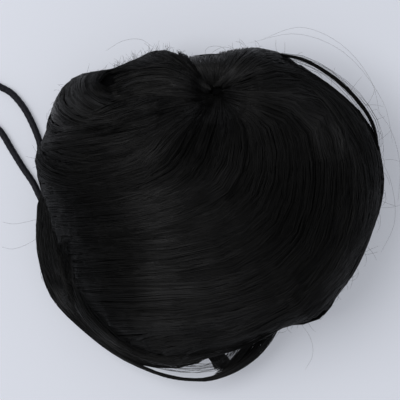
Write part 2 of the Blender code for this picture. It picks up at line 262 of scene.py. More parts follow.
# Strand families: guides, how many locks lie on top and how many make the even bed under them, wisps
# in a lock, strands in a wisp, points along a strand and how closely they gather at its ends, a lock's
# half width, and how far the locks on top run along their guides, as shares of the guides' length
FAMILIES = (
    # name, guides, locks, bed, wisps, strands, points, packing, width, shortest, longest
    ("upper_sweep", SWIRL[0:5], 22, 8, 6, 8, 14, 0.50, 0.0042, 0.50, 0.98),
    ("middle_sweep", SWIRL[4:7], 24, 7, 6, 8, 14, 0.50, 0.0046, 0.45, 0.95),
    ("lower_sweep", SWIRL[6:9], 26, 8, 6, 8, 14, 0.50, 0.0050, 0.40, 0.90),
    ("right_sweep", SWIRL[8:11], 17, 7, 6, 8, 15, 0.30, 0.0046, 0.35, 0.75),
    ("right_crescent", SWIRL[10:12], 8, 4, 6, 8, 14, 0.30, 0.0046, 0.40, 0.80),
    ("curl_root", CURL_ROOT, 13, 5, 5, 8, 12, 0.30, 0.0034, 0.50, 0.95),
    ("left_turn", LEFT_TURN, 9, 0, 6, 8, 12, 0.00, 0.0030, 0.45, 0.95),
    ("corner_curl", CURL, 14, 6, 5, 9, 22, 0.00, 0.0023, 0.60, 0.95),
    ("top_edge", TOP_EDGE, 17, 6, 5, 9, 12, 0.40, 0.0040, 0.55, 0.98),
)

# Bands of hair wound round the outline, between two bearings and two levels. A level of 1 is the
# girth, less is above it and more below.
BANDS = (
    # name, first bearing, last bearing, upper level, lower level, locks, strands, lift
    ("corner_wrap", 145, 195, 1.01, 1.12, 10, 12, 0.0006),
    ("left_wrap", 200, 240, 0.950, 1.08, 26, 12, 0.0009),
    ("bottom_wrap", 228, 290, 0.955, 1.08, 26, 12, 0.0011),
    ("lobe_wrap", 285, 335, 1.02, 1.14, 8, 12, 0.0008),
    ("right_wrap", -40, 50, 0.97, 1.10, 18, 12, 0.0008),
    ("side_band", 0, 360, 1.06, 1.50, 64, 14, 0.0004),
)

# Course of the standing locks, in shares of the half span. Girth is a share of the lock's own width.
SIDE_LOCK_WIDTH = 0.0013
SIDE_LOCK = (
    # across, along, girth
    (0.100, 0.940, 0.50),
    (0.220, 0.945, 0.55),
    (0.380, 0.940, 0.75),
    (0.526, 0.912, 0.90),
    (0.649, 0.845, 1.00),
    (0.760, 0.758, 1.00),
    (0.856, 0.652, 1.00),
    (0.925, 0.538, 0.90),
    (0.957, 0.400, 0.75),
    (0.950, 0.240, 0.60),
    (0.920, 0.050, 0.50),
)
RIM_LOCK_WIDTH = 0.0040
RIM_LOCK = (
    # across, along, girth
    (-0.880, 0.300, 0.45),
    (-0.930, 0.180, 0.60),
    (-0.960, 0.060, 0.80),
    (-0.975, -0.120, 0.95),
    (-0.955, -0.300, 1.00),
    (-0.886, -0.509, 0.85),
    (-0.708, -0.708, 0.60),
    (-0.503, -0.874, 0.34),
    (-0.259, -0.984, 0.26),
    (-0.090, -1.008, 0.24),
    (0.020, -0.996, 0.40),
    (0.162, -0.925, 0.80),
    (0.294, -0.810, 1.00),
    (0.385, -0.670, 0.75),
    (0.460, -0.520, 0.50),
)

# Veils: sparse hair spread between two borders. Height is a share of the bun's height.
VEILS = (
    # name, hairs, radius, borders as runs of (across, along, height)
    ("cleft_fill", 350, 0.00016,
     ((-0.115, 0.93, 0.42), (-0.10, 0.895, 0.56), (-0.055, 0.83, 0.62), (0.01, 0.73, 0.54)),
     ((0.16, 0.955, 0.36), (0.14, 0.92, 0.52), (0.10, 0.85, 0.60), (0.055, 0.74, 0.54))),
    ("cleft_left_veil", 80, 0.00009,
     ((-0.19, 0.965, 0.40), (-0.16, 0.92, 0.48), (-0.11, 0.85, 0.54), (0.00, 0.74, 0.50)),
     ((-0.13, 0.94, 0.30), (-0.11, 0.90, 0.40), (-0.06, 0.84, 0.46), (0.01, 0.74, 0.48))),
    ("cleft_right_veil", 150, 0.00010,
     ((0.22, 0.985, 0.42), (0.18, 0.93, 0.60), (0.12, 0.85, 0.66), (0.06, 0.75, 0.58)),
     ((0.06, 0.96, 0.34), (0.05, 0.92, 0.48), (0.04, 0.84, 0.56), (0.04, 0.75, 0.56))),
    ("cleft_bridge", 34, 0.00008,
     ((-0.10, 0.93, 0.40), (-0.02, 0.94, 0.42), (0.06, 0.94, 0.46), (0.13, 0.93, 0.50)),
     ((-0.07, 0.91, 0.44), (0.00, 0.92, 0.46), (0.06, 0.91, 0.50), (0.12, 0.89, 0.54))),
    ("left_veil", 320, 0.00015,
     ((-0.92, 0.26, 0.30), (-0.985, 0.06, 0.28), (-0.99, -0.20, 0.27), (-0.93, -0.42, 0.26),
      (-0.80, -0.62, 0.25), (-0.62, -0.78, 0.22)),
     ((-0.84, 0.20, 0.42), (-0.88, 0.02, 0.41), (-0.85, -0.20, 0.39), (-0.80, -0.38, 0.38),
      (-0.68, -0.56, 0.36), (-0.54, -0.72, 0.30))),
    ("corner_veil", 230, 0.00012,
     ((-0.94, -0.40, 0.26), (-0.72, -0.69, 0.26), (-0.51, -0.87, 0.22), (-0.34, -0.93, 0.18),
      (-0.19, -0.935, 0.18), (-0.08, -0.905, 0.22), (0.02, -0.85, 0.28)),
     ((-0.80, -0.40, 0.42), (-0.62, -0.64, 0.38), (-0.44, -0.77, 0.34), (-0.30, -0.83, 0.30),
      (-0.17, -0.85, 0.30), (-0.05, -0.83, 0.30), (0.05, -0.80, 0.32))),
    ("lobe_veil", 110, 0.00010,
     ((0.02, -0.98, 0.16), (0.12, -0.94, 0.16), (0.23, -0.85, 0.20), (0.33, -0.73, 0.24),
      (0.41, -0.58, 0.30)),
     ((0.06, -0.93, 0.20), (0.14, -0.87, 0.22), (0.21, -0.77, 0.26), (0.26, -0.68, 0.32),
      (0.31, -0.54, 0.40))),
    ("lobe_fill", 34, 0.00010,
     ((0.06, -0.91, 0.22), (0.09, -0.86, 0.24), (0.14, -0.80, 0.28), (0.20, -0.70, 0.34)),
     ((0.12, -0.94, 0.22), (0.18, -0.88, 0.24), (0.23, -0.80, 0.28), (0.29, -0.68, 0.34))),
    ("window_post", 130, 0.00015,
     ((0.035, -0.955, 0.16), (0.015, -0.91, 0.18), (-0.015, -0.86, 0.22), (-0.06, -0.79, 0.30)),
     ((0.135, -0.935, 0.16), (0.11, -0.885, 0.18), (0.08, -0.85, 0.22), (0.06, -0.78, 0.30))),
    ("bottom_veil", 16, 0.00007,
     ((-0.62, -0.76, 0.16), (-0.35, -0.93, 0.16), (-0.05, -0.97, 0.18), (0.14, -0.89, 0.20),
      (0.24, -0.76, 0.24)),
     ((-0.50, -0.74, 0.30), (-0.25, -0.88, 0.26), (0.02, -0.90, 0.28), (0.12, -0.80, 0.30),
      (0.16, -0.66, 0.34))),
    ("side_veil", 12, 0.00006,
     ((0.30, 0.92, 0.46), (0.55, 0.87, 0.44), (0.74, 0.74, 0.42), (0.90, 0.52, 0.40),
      (0.93, 0.36, 0.38)),
     ((0.34, 0.96, 0.42), (0.58, 0.92, 0.42), (0.82, 0.75, 0.42), (0.97, 0.53, 0.42),
      (0.99, 0.36, 0.40))),
    ("rim_fan", 70, 0.00008,
     ((-0.80, -0.34, 0.40), (-0.89, -0.33, 0.30), (-0.97, -0.34, 0.20), (-0.96, -0.42, 0.12)),
     ((-0.80, -0.52, 0.40), (-0.84, -0.55, 0.28), (-0.82, -0.62, 0.18), (-0.72, -0.70, 0.12))),
)

# Painted light: soft patches of painted highlight, where the hair is lighter and glossier, or painted
# shade where the change is below zero
PAINTED_LIGHT = (
    # name, across, along, half width, half length, turn, change
    ("upper_band", -0.37, 0.44, 0.11, 0.20, 0, 0.45),
    ("middle_band", -0.29, -0.04, 0.12, 0.30, 5, 0.55),
    ("lower_band", -0.24, -0.52, 0.12, 0.28, 5, 0.60),
    ("second_band", 0.05, -0.43, 0.11, 0.28, 10, 0.40),
    ("lobe", 0.13, -0.68, 0.12, 0.09, 0, 0.35),
    ("right_lock", 0.60, 0.56, 0.10, 0.22, 45, 0.35),
    ("upper_streak", 0.20, 0.825, 0.130, 0.018, 8, 0.90),
    ("shoulder_streak", 0.49, 0.67, 0.022, 0.10, 48, 0.90),
    ("inner_streak", 0.56, 0.54, 0.030, 0.12, 42, 1.10),
    ("outer_streak", 0.72, 0.45, 0.020, 0.09, 38, 1.10),
    ("right_patch", 0.74, -0.41, 0.06, 0.14, -15, 0.90),
    ("right_edge", 0.95, 0.05, 0.04, 0.20, 0, 0.35),
    ("top_right", 0.24, 0.84, 0.20, 0.05, 0, 0.45),
    ("curl", -0.78, 0.66, 0.14, 0.20, 0, 0.50),
    ("curl_edge_arc", -0.888, 0.610, 0.014, 0.060, -8, 1.60),
    ("curl_lower_arc", -0.848, 0.508, 0.014, 0.055, 54, 1.80),
    ("curl_lower_groove", -0.832, 0.545, 0.014, 0.045, 56, -0.80),
    ("curl_outer_arc", -0.775, 0.690, 0.014, 0.050, 14, 0.50),
    ("curl_middle_arc", -0.735, 0.750, 0.015, 0.085, 0, 1.20),
    ("curl_middle_foot", -0.660, 0.650, 0.013, 0.060, 74, 0.80),
    ("curl_inner_groove", -0.702, 0.745, 0.010, 0.060, 0, -0.80),
    ("curl_inner_arc", -0.672, 0.735, 0.012, 0.035, 8, 1.00),
    ("curl_inner_foot", -0.590, 0.690, 0.012, 0.055, 86, 0.60),
    ("curl_slit", -0.600, 0.728, 0.060, 0.014, 0, -0.90),
    ("curl_eye", -0.594, 0.800, 0.040, 0.034, 0, -1.00),
    ("curl_shadow", -0.620, 0.480, 0.140, 0.022, 0, -0.45),
    ("cleft", -0.078, 0.866, 0.030, 0.070, 6, 1.40),
    ("cleft_fill", 0.030, 0.890, 0.060, 0.045, 0, 0.45),
    ("pit", 0.045, 0.690, 0.050, 0.040, -20, -0.80),
    ("pit_tail", -0.010, 0.635, 0.040, 0.020, 30, -0.30),
    ("fan_wedge", -0.858, -0.520, 0.026, 0.090, -4, 1.80),
    ("fan_stroke", -0.900, -0.385, 0.060, 0.014, 0, 1.30),
    ("curl_root", -0.33, 0.66, 0.16, 0.10, 0, 0.35),
    ("knot_side", -0.14, 0.76, 0.10, 0.10, 0, 0.80),
    ("knot_top", 0.01, 0.80, 0.06, 0.05, 0, 0.60),
    ("middle_stroke", 0.06, 0.14, 0.07, 0.17, -33, 0.40),
    ("band_left", -0.46, -0.24, 0.07, 0.24, 0, -0.35),
    ("knot_front", -0.06, 0.62, 0.14, 0.07, 0, 0.25),
    ("left_edge", -0.90, -0.15, 0.06, 0.40, 4, -0.45),
    ("lower_left", -0.56, -0.56, 0.14, 0.14, 0, -0.40),
    ("left_of_band", -0.62, 0.02, 0.12, 0.12, 0, -0.25),
    ("bottom_edge", -0.24, -0.900, 0.26, 0.045, 0, 0.90),
    ("corner_edge", -0.56, -0.780, 0.14, 0.040, -42, 0.60),
    ("post", 0.05, -0.88, 0.08, 0.08, 0, 1.00),
    ("hollow", 0.50, 0.08, 0.26, 0.34, 10, -0.35),
    ("below_knot", -0.06, 0.38, 0.11, 0.14, 0, -0.15),
    ("left_side", -0.78, 0.00, 0.20, 0.50, 0, -0.28),
)

# Single stray hairs, as runs of (across, along, height)
STRAYS = (
    ((0.30, 1.03, 0.50), (0.52, 1.10, 0.46), (0.75, 1.00, 0.42), (0.92, 0.79, 0.38),
     (0.98, 0.55, 0.36)),
    ((0.20, 1.00, 0.50), (0.50, 1.06, 0.46), (0.78, 0.94, 0.42), (0.99, 0.66, 0.38),
     (1.05, 0.40, 0.36)),
    ((0.95, 0.62, 0.40), (1.04, 0.48, 0.38), (1.09, 0.28, 0.34), (1.08, 0.05, 0.30)),
    ((0.92, 0.40, 0.44), (1.03, 0.20, 0.40), (1.06, -0.05, 0.34), (0.98, -0.25, 0.30)),
    ((-0.03, 0.92, 0.50), (-0.02, 0.97, 0.54), (0.03, 0.985, 0.56), (0.08, 0.97, 0.54),
     (0.10, 0.92, 0.50)),
    ((-0.01, 0.93, 0.48), (0.03, 0.96, 0.52), (0.08, 0.98, 0.54), (0.15, 0.96, 0.52),
     (0.20, 0.93, 0.48)),
    ((-0.90, -0.02, 0.40), (-1.02, -0.05, 0.36), (-1.12, -0.07, 0.30), (-1.20, -0.06, 0.20)),
    ((-0.92, -0.10, 0.36), (-1.03, -0.18, 0.32), (-1.13, -0.22, 0.24), (-1.21, -0.21, 0.12)),
    ((0.52, -0.66, 0.40), (0.58, -0.76, 0.34), (0.59, -0.86, 0.26), (0.55, -0.95, 0.14)),
    ((-0.60, 0.96, 0.40), (-0.50, 1.02, 0.42), (-0.40, 1.03, 0.42), (-0.32, 0.98, 0.40)),
)

# Frizz: short loose hairs along stretches of the outline
FRIZZ = (
    # name, from bearing, to bearing, hairs, shortest, longest
    ("tuft_frizz", 98, 124, 200, 0.0015, 0.0050),
    ("shoulder_frizz", 60, 92, 45, 0.0020, 0.0070),
    ("corner_frizz", 122, 165, 40, 0.0020, 0.0055),
    ("left_frizz", 165, 240, 26, 0.0020, 0.0060),
    ("bottom_frizz", 270, 330, 50, 0.0020, 0.0060),
    ("right_frizz", -30, 60, 45, 0.0030, 0.0110),
)


def smooth_course(points, count):
    """Return count points, evenly spaced along a smooth curve through the given points."""
    points = np.array(points, float)
    padded = np.vstack((2 * points[0] - points[1], points, 2 * points[-1] - points[-2]))
    steps = np.linspace(0, 1, 24, endpoint=False)[:, None]
    fine = []
    for before, start, end, after in zip(padded, padded[1:], padded[2:], padded[3:]):
        bend = 2 * before - 5 * start + 4 * end - after
        turn = 3 * (start - end) + after - before
        fine.append((2 * start + (end - before) * steps + bend * steps**2 + turn * steps**3) / 2)
    fine = np.vstack(fine + [points[-1:]])
    run = np.concatenate(([0], np.cumsum(np.linalg.norm(np.diff(fine, axis=0), axis=1))))
    stops = np.linspace(0, run[-1], count)
    return np.column_stack([np.interp(stops, run, axis) for axis in fine.T])


def unit(vectors):
    """Return vectors scaled to a length of one."""
    return vectors / (np.linalg.norm(vectors, axis=-1)[..., None] + 1e-12)


def swell_over(stations, power):
    """Return a swell that is one in the middle and nothing at both ends, fuller for a lower power."""
    return np.sin(math.pi * stations).clip(0, 1) ** power


def on_plan(radius, bearing):
    """Return plan places from distances out and bearings."""
    return np.stack((radius * np.cos(bearing), radius * np.sin(bearing)), axis=-1)


def blur_round(grid, passes):
    """Return a bearing by elevation grid blurred lightly, going round in bearing."""
    for _ in range(passes):
        grid = (np.roll(grid, 1, axis=0) + 2 * grid + np.roll(grid, -1, axis=0)) / 4
        held = np.concatenate((grid[:, :1], grid, grid[:, -1:]), axis=1)
        grid = (held[:, :-2] + 2 * held[:, 1:-1] + held[:, 2:]) / 4
    return grid


class Surface:
    """The outside of the hair mass, unrolled over the plan.

    Inside the girth a plan place lies straight below itself. Past the girth, the distance beyond it
    is measured down the side.
    """

    BEARINGS = 256
    ELEVATIONS = 150
    HIGHEST = 89.5
    LOWEST = -24
    LEVEL_RINGS = 6
    REACHES = 160
    FURTHEST = 1.60

    def __init__(self, node):
        mesh = node.data
        tree = BVHTree.FromPolygons(
            [vert.co for vert in mesh.vertices], [face.vertices[:] for face in mesh.polygons]
        )
        centre = Vector((0, 0, GIRTH_HEIGHT))
        bearings = np.arange(self.BEARINGS) * 2 * math.pi / self.BEARINGS
        elevations = np.radians(np.linspace(self.HIGHEST, self.LOWEST, self.ELEVATIONS))
        far = 3 * HALF_SPAN.max()
        reach = np.zeros((self.BEARINGS, self.ELEVATIONS))
        for i, bearing in enumerate(bearings):
            for j, elevation in enumerate(elevations):
                flat = math.cos(elevation)
                way = Vector((math.cos(bearing) * flat, math.sin(bearing) * flat, math.sin(elevation)))
                hit = tree.ray_cast(centre + way * far, -way)[0]
                reach[i, j] = (hit - centre).length
        reach = blur_round(reach, 1) - HAIR_DEPTH
        out = reach * np.cos(elevations)
        up = GIRTH_HEIGHT + reach * np.sin(elevations)
        self.girth = np.zeros(self.BEARINGS)
        self.places = np.zeros((self.BEARINGS, self.REACHES, 3))
        shares = np.linspace(0, self.FURTHEST, self.REACHES)
        rows = np.arange(self.ELEVATIONS)
        for i, bearing in enumerate(bearings):
            widest = int(out[i].argmax())
            self.girth[i] = out[i, widest]
            rising = np.maximum.accumulate(out[i, : widest + 1]) + np.arange(widest + 1) * 1e-9
            steps = np.hypot(np.diff(out[i]), np.diff(up[i]))
            run = np.concatenate(([0], np.cumsum(steps))) - steps[:widest].sum()
            inside = np.interp(shares * self.girth[i], rising, np.arange(widest + 1))
            past = np.interp((shares - 1) * self.girth[i], run, rows)
            where = np.where(shares <= 1, inside, past)
            radius = np.interp(where, rows, out[i])
            self.places[i, :, 0] = radius * math.cos(bearing)
            self.places[i, :, 1] = radius * math.sin(bearing)
            self.places[i, :, 2] = np.interp(where, rows, up[i])
        around = np.roll(self.places, -1, axis=0) - np.roll(self.places, 1, axis=0)
        down = np.gradient(self.places, axis=1)
        outward = np.cross(down, around)
        outward[:, : self.LEVEL_RINGS] = UPWARD
        outward = unit(outward)
        self.outward = unit(np.dstack([blur_round(outward[:, :, axis], 2) for axis in range(3)]))

    def girth_at(self, bearing):
        """Return how far the girth is out at bearings of any array shape."""
        whole = 2 * math.pi
        known = np.arange(self.BEARINGS) * whole / self.BEARINGS
        return np.interp(bearing % whole, known, self.girth, period=whole)

    def look_up(self, plan):
        """Return points, outward directions and shares of the girth for plan places of any shape."""
        bearing = np.arctan2(plan[..., 1], plan[..., 0]) % (2 * math.pi)
        column = bearing / (2 * math.pi) * self.BEARINGS
        left = np.floor(column).astype(int) % self.BEARINGS
        right = (left + 1) % self.BEARINGS
        aside = (column - np.floor(column))[..., None]
        girth = self.girth[left] * (1 - aside[..., 0]) + self.girth[right] * aside[..., 0]
        share = np.hypot(plan[..., 0], plan[..., 1]) / girth
        row = np.clip(share / self.FURTHEST, 0, 0.999) * (self.REACHES - 1)
        upper = np.floor(row).astype(int)
        below = (row - upper)[..., None]
        found = []
        for grid in (self.places, self.outward):
            near = grid[left, upper] * (1 - aside) + grid[right, upper] * aside
            far = grid[left, upper + 1] * (1 - aside) + grid[right, upper + 1] * aside
            found.append(near * (1 - below) + far * below)
        return found[0], unit(found[1]), share


def guide_places(guides, across, along):
    """Return plan places in a family. Across counts guides, along is a share of their length."""
    lines = np.array([smooth_course(guide, GUIDE_POINTS) for guide in guides]) * HALF_SPAN
    across = np.clip(across, 0, len(lines) - 1.001)
    along = np.clip(along, 0, 1) * (GUIDE_POINTS - 1)
    first = np.floor(across).astype(int)
    start = np.minimum(np.floor(along).astype(int), GUIDE_POINTS - 2)
    aside = (across - first)[..., None]
    ahead = (along - start)[..., None]
    near = lines[first, start] * (1 - ahead) + lines[first, start + 1] * ahead
    far = lines[first + 1, start] * (1 - ahead) + lines[first + 1, start + 1] * ahead
    return near * (1 - aside) + far * aside


def comb(surface, guides, top_locks, bed, per_lock, strands, points_each, packing, width, *reach):
    """Return strand paths, their outward directions and tones, for one family of guides.

    A family is combed into locks, a lock into wisps and a wisp into strands. A lock swells in its
    middle and sinks into the mass at both ends, and its wisps ride up and down in soft waves. The
    bed's locks run from end to end, side by side, a little deeper than the rest.
    """
    even = np.linspace(0, 1, points_each)
    stations = even - packing * np.sin(2 * math.pi * even) / (2 * math.pi)
    swell = swell_over(stations, 0.6)
    locks = top_locks + bed
    on_bed = np.arange(locks) >= top_locks
    lanes = (np.arange(top_locks) + rng.uniform(0, 1, top_locks)) / top_locks
    rng.shuffle(lanes)
    lanes = np.concatenate((lanes, (np.arange(bed) + 0.5) / bed)) * (len(guides) - 1)
    length = np.where(on_bed, BED_LENGTH, rng.uniform(*reach, locks))
    start = np.where(on_bed, BED_START, rng.uniform(LOCK_START, LOCK_END - length))
    drift = rng.normal(0, LOCK_DRIFT, locks)
    along = start[:, None] + length[:, None] * stations
    across = lanes[:, None] + drift[:, None] * (stations - 0.5)
    middle = guide_places(guides, across, along)
    heading = unit(np.gradient(middle, axis=1))
    aside = np.stack((heading[..., 1], -heading[..., 0]), axis=-1)[:, None, None]
    run = np.linalg.norm(np.diff(middle, axis=1), axis=2).sum(axis=1)
    narrowing = np.clip(along * ROOT_GROWTH + ROOT_GIRTH, ROOT_GIRTH, 1)
    lock_girth = (width * rng.uniform(*LOCK_GIRTHS, locks))[:, None]
    lock_girth = lock_girth * (TIP_GIRTH + (1 - TIP_GIRTH) * swell) * narrowing
    lock_lift = np.where(on_bed, -BED_DEPTH, rng.uniform(0, LOCK_LIFT, locks))
    lock_tone = rng.uniform(*LOCK_TONES, locks)

    shape = (locks, per_lock)
    lane = (np.arange(per_lock) + rng.uniform(0.1, 0.9, shape)) / per_lock * 2 - 1
    wisp_girth = rng.uniform(*WISP_GIRTHS, shape)
    sway = wave_over(run[:, None], shape, SWAY, SWAY_LENGTH, stations)
    ripple = wave_over(run[:, None], shape, RIPPLE, RIPPLE_LENGTH, stations)
    wisp_tone = rng.normal(0, WISP_TONE, shape)

    shape = (locks, per_lock, strands)
    hair = rng.normal(0, HAIR_SPREAD, shape).clip(-HAIR_LIMIT, HAIR_LIMIT)
    stray = wave_over(run[:, None, None], shape, HAIR_STRAY, SWAY_LENGTH / 2, stations)
    level = rng.normal(0, HAIR_LEVEL, shape)
    offset = lane[..., None, None] + (hair[..., None] + stray) * wisp_girth[..., None, None]
    offset = offset * lock_girth[:, None, None] + sway[:, :, None]
    plan = middle[:, None, None] + aside * offset[..., None]
    crown = LOCK_CROWN * (1 - lane**2)[..., None, None] * (lock_girth / width)[:, None, None]
    bulge = WISP_BULGE * width * (wisp_girth[..., None] * np.clip(1 - hair**2, 0, 1))[..., None]
    height = (lock_lift[:, None, None, None] + crown + bulge + level[..., None]) * swell
    height = height + ripple[:, :, None] * swell - END_DEPTH * (1 - swell)
    points, outward, share = surface.look_up(plan)
    height = height * (1 - EDGE_PRESS * np.exp(-((np.minimum(share - 1, 0) / EDGE_WIDTH) ** 2)))
    points = points + outward * height[..., None]
    tone = lock_tone[:, None, None] + wisp_tone[..., None] + rng.normal(0, HAIR_TONE, shape)
    flat = (locks * per_lock * strands, points_each, 3)
    return points.reshape(flat), outward.reshape(flat), np.clip(tone, 0, 1).ravel()


def wave_over(run, shape, height, length, stations):
    """Return a soft wave along each of many strands, of random height, length and phase."""
    size = height * rng.uniform(*WAVE_SIZES, shape)
    turns = 2 * math.pi * np.broadcast_to(run, shape) / (length * rng.uniform(*WAVE_LENGTHS, shape))
    phase = rng.uniform(0, 2 * math.pi, shape)
    return size[..., None] * np.sin(turns[..., None] * stations + phase[..., None])


def painted_light_at(points):
    """Return each point's painted highlight, or painted shade below zero, from the soft patches it lies
    in.
    """
    plan = points[..., :2] / HALF_SPAN
    change = np.zeros(points.shape[:-1])
    for _, across, along, half_width, half_length, turn, amount in PAINTED_LIGHT:
        away = plan - (across, along)
        cosine, sine = math.cos(math.radians(turn)), math.sin(math.radians(turn))
        aside = (away[..., 0] * cosine + away[..., 1] * sine) / half_width
        ahead = (away[..., 1] * cosine - away[..., 0] * sine) / half_length
        change += amount * np.exp(-(aside**2) - ahead**2)
    return change


def strand_mesh(name, paths, outward, tone, radius, sides=3, taper=0.35):
    """Return one mesh of closed tubes, a tube for each path, thinner towards its pointed ends."""
    count, stations, _ = paths.shape
    paths = paths.copy()
    paths[..., 2] = np.maximum(paths[..., 2], FLOOR_GAP)
    heading = unit(np.gradient(paths, axis=1))
    aside = unit(np.cross(heading, outward))
    upward = np.cross(aside, heading)
    girth = taper + (1 - taper) * swell_over(np.linspace(0, 1, stations), 0.5)
    girth = girth[None, :] * np.broadcast_to(np.asarray(radius), (count,))[:, None]
    turn = np.arange(sides) * 2 * math.pi / sides
    rings = (
        paths[:, 1:-1, None]
        + girth[:, 1:-1, None, None] * np.cos(turn)[:, None] * aside[:, 1:-1, None]
        + girth[:, 1:-1, None, None] * np.sin(turn)[:, None] * upward[:, 1:-1, None]
    )
    inner = stations - 2
    each = inner * sides + 2
    verts = np.concatenate((rings.reshape(count, -1, 3), paths[:, :1], paths[:, -1:]), axis=1)

    ring, side = np.meshgrid(np.arange(inner - 1), np.arange(sides), indexing="ij")
    after = (side + 1) % sides
    near = ring * sides
    far = near + sides
    quads = np.stack((near + side, near + after, far + after, far + side), axis=-1).reshape(-1, 4)
    side = np.arange(sides)
    after = (side + 1) % sides
    last = (inner - 1) * sides
    starts = np.column_stack((after, side, np.full(sides, inner * sides)))
    ends = np.column_stack((last + side, last + after, np.full(sides, inner * sides + 1)))
    shift = (np.arange(count) * each)[:, None, None]
    quads = (quads + shift).reshape(-1, 4)
    triangles = (np.vstack((starts, ends)) + shift).reshape(-1, 3)

    mesh = bpy.data.meshes.new(name)
    mesh.vertices.add(count * each)
    mesh.vertices.foreach_set("co", verts.astype(np.float32).ravel())
    corners = np.concatenate((quads.ravel(), triangles.ravel()))
    mesh.loops.add(corners.size)
    mesh.loops.foreach_set("vertex_index", corners.astype(np.int32))
    quad_starts = np.arange(len(quads)) * 4
    triangle_starts = quads.size + np.arange(len(triangles)) * 3
    loop_starts = np.concatenate((quad_starts, triangle_starts))
    mesh.polygons.add(loop_starts.size)
    mesh.polygons.foreach_set("loop_start", loop_starts.astype(np.int32))
    mesh.update(calc_edges=True)
    mesh.shade_smooth()
    # The tone attribute: random tone plus painted highlight and painted shade from the patches
    shade = mesh.attributes.new("tone", "FLOAT", "POINT")
    patches = np.maximum(painted_light_at(verts).ravel(), PATCH_LOWEST) * np.repeat(PATCH_BASE + tone, each)
    tone_and_painted_light = np.repeat(tone, each) * TONE_SHARE + patches
    shade.data.foreach_set("value", np.clip(tone_and_painted_light, 0, TONE_HIGHEST).astype(np.float32))
    return mesh


def add_piece(name, mesh, material, slot, *replaced):
    """Add a piece that rides on the part, with its material and the nodes it stands for. The slot is not
    used.
    """
    piece = bpy.data.objects.new(name, mesh)
    bpy.context.scene.collection.objects.link(piece)
    piece.data.materials.clear()
    piece.data.materials.append(material)
    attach(piece, "root")
    if replaced:
        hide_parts(*replaced)
    return piece


class Paint:
    """A node material and its shader, with the steps that build it."""

    def __init__(self, name, roughness, specular):
        self.material = bpy.data.materials.new(name)
        self.material.use_nodes = True
        self.nodes = self.material.node_tree.nodes
        self.link = self.material.node_tree.links.new
        self.shader = self.nodes["Principled BSDF"]
        self.shader.inputs["Roughness"].default_value = roughness
        self.shader.inputs["Specular IOR Level"].default_value = specular

    def pattern(self, kind, source):
        """Add a texture or mapping node that reads its places from a socket."""
        node = self.nodes.new(kind)
        self.link(source, node.inputs["Vector"])
        return node

    def places(self):
        """Return the socket that gives places on the piece itself."""
        return self.nodes.new("ShaderNodeTexCoord").outputs["Object"]

    def colour(self, factor, low, high):
        """Colour the shader from one colour to another as a socket goes from 0 to 1."""
        ramp = self.nodes.new("ShaderNodeValToRGB")
        ramp.color_ramp.elements[0].color = (*low, 1)
        ramp.color_ramp.elements[1].color = (*high, 1)
        self.link(factor, ramp.inputs["Fac"])
        self.link(ramp.outputs["Color"], self.shader.inputs["Base Color"])

    def bump(self, height, strength, distance, invert=False):
        """Raise the shader's surface where a socket is high, or where it is low if inverted."""
        bump = self.nodes.new("ShaderNodeBump")
        bump.invert = invert
        bump.inputs["Strength"].default_value = strength
        bump.inputs["Distance"].default_value = distance
        self.link(height, bump.inputs["Height"])
        self.link(bump.outputs["Normal"], self.shader.inputs["Normal"])


def hair_material():
    """Return the strands' material: near black, lighter and glossier with tone and painted light and
    shade.
    """
    paint = Paint("synthetic_hair", 0.5, 0.15)
    tone = paint.nodes.new("ShaderNodeAttribute")
    tone.attribute_name = "tone"
    paint.colour(tone.outputs["Fac"], (0.0006, 0.0006, 0.0006), (0.0240, 0.0238, 0.0244))
    rough = paint.nodes.new("ShaderNodeMapRange")
    rough.inputs["To Min"].default_value = 0.55
    rough.inputs["To Max"].default_value = 0.28
    paint.link(tone.outputs["Fac"], rough.inputs["Value"])
    paint.link(rough.outputs["Result"], paint.shader.inputs["Roughness"])
    return paint.material


def core_material():
    """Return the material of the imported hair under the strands: black, with fine combed grain."""
    paint = Paint("packed_hair", 0.8, 0.05)
    stretch = paint.pattern("ShaderNodeMapping", paint.places())
    stretch.inputs["Scale"].default_value = (260, 900, 260)
    grain = paint.pattern("ShaderNodeTexNoise", stretch.outputs["Vector"])
    grain.inputs["Scale"].default_value = 1.0
    grain.inputs["Detail"].default_value = 4
    paint.colour(grain.outputs["Fac"], (0.0004, 0.0004, 0.0005), (0.0016, 0.0016, 0.0020))
    paint.bump(grain.outputs["Fac"], 0.6, 0.0004)
    return paint.material


def cloth_material(name, dark, light, scale, roughness):
    """Return a matt black textile with fine threads."""
    paint = Paint(name, roughness, 0.2)
    threads = paint.pattern("ShaderNodeTexVoronoi", paint.places())
    threads.inputs["Scale"].default_value = scale
    paint.colour(threads.outputs["Distance"], light, dark)
    paint.bump(threads.outputs["Distance"], 0.5, 0.0002, invert=True)
    return paint.material


def make_camera():
    """Add the camera, straight above the bun, framing what the photograph does."""
    camera = bpy.data.objects.new("camera", bpy.data.cameras.new("camera"))
    bpy.context.scene.collection.objects.link(camera)
    camera.data.sensor_width = SENSOR
    camera.data.lens = SENSOR * (CAMERA_HEIGHT - GIRTH_HEIGHT) / FRAME_WIDTH
    camera.data.clip_start = 0.01
    camera.data.clip_end = 10
    camera.location = (*VIEW_CENTRE, CAMERA_HEIGHT)
    bpy.context.scene.camera = camera


def casing_end(bearing, beyond):
    """Return a point on the casing's line, a distance beyond one of its ends, given by bearing."""
    turn = math.radians(bearing) + beyond / CAP_RADIUS
    return (CAP_RADIUS * math.cos(turn), CAP_RADIUS * math.sin(turn), CASING_HEIGHT)


